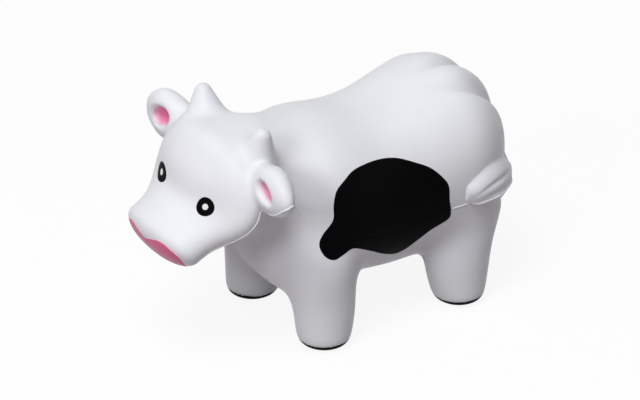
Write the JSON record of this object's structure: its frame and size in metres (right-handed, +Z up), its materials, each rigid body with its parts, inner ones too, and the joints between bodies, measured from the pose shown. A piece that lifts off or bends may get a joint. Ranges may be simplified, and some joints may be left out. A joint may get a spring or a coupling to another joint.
{
  "type": "foam cow stress toy",
  "caption": "Squeezable soft foam cow standing on stout legs, with cupped ears, blunt horns, a curled tail tuft, printed flank patches, eyes and muzzle, and painted soles",
  "frame": {"origin": "bottom centre of the bounding box, on the surface that the four soles stand on", "axes": "+Z up, -Y the way the cow faces, +X the cow's left side"},
  "size_m": [0.0734, 0.116, 0.0724],
  "materials": {
    "foam_skin": "smooth satin moulded skin of white polyurethane foam",
    "black_paint": "satin black printed paint",
    "pink_paint": "satin pink sprayed paint",
    "white_paint": "satin white printed paint"
  },
  "bodies": {
    "base": {"leg_front_left": "foam_skin", "leg_front_right": "foam_skin", "leg_rear_left": "foam_skin", "leg_rear_right": "foam_skin", "sole_front_left": "black_paint", "sole_front_right": "black_paint", "sole_rear_left": "black_paint", "sole_rear_right": "black_paint"},
    "upper": {"torso": "foam_skin", "neck": "foam_skin", "head": "foam_skin", "tail": "foam_skin", "horn_left": "foam_skin", "horn_right": "foam_skin", "ear_left": "foam_skin", "ear_right": "foam_skin", "eye_ring_left": "black_paint", "eye_ring_right": "black_paint", "eye_dot_left": "white_paint", "eye_dot_right": "white_paint", "ear_lining_left": "pink_paint", "ear_lining_right": "pink_paint", "patch_left": "black_paint", "patch_right": "black_paint", "muzzle_print": "pink_paint"}
  },
  "joints": [
    {"name": "press", "type": "slide", "parent": "base", "child": "upper", "axis": [0, 0, 1], "range_m": [-0.006, 0], "stiffness_N_per_m": 3000, "deforming": ["leg_front_left", "leg_front_right", "leg_rear_left", "leg_rear_right"]}
  ]
}
